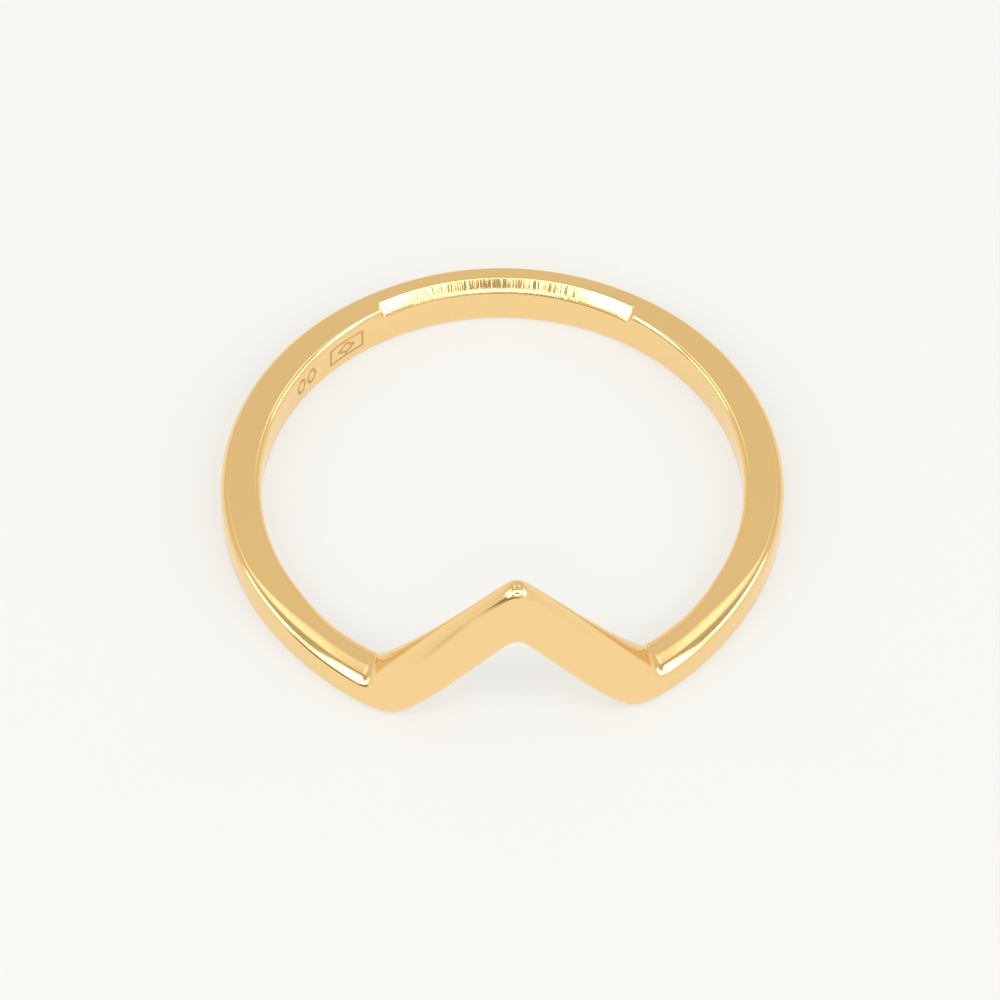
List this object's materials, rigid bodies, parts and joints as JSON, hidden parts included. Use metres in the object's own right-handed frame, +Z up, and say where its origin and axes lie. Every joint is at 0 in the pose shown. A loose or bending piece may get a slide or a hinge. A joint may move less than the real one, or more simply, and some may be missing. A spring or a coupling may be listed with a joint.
{
  "type": "triangle ring",
  "caption": "Slim polished finger ring lying on its side, a round band whose front climbs in two limbs to a rounded peak, open underneath, with a filed inner edge at the back.",
  "frame": {"origin": "centre of the finger bore, in the plane that the ring rests on", "axes": "+Z up along the finger bore, -Y towards the peak, +X to the right seen from the peak's side"},
  "size_m": [0.0196, 0.0187, 0.0069],
  "materials": {
    "polished_gold": "polished yellow gold, finely brushed across the band at the back"
  },
  "bodies": {
    "root": {"chevron_band": "polished_gold"}
  },
  "joints": []
}
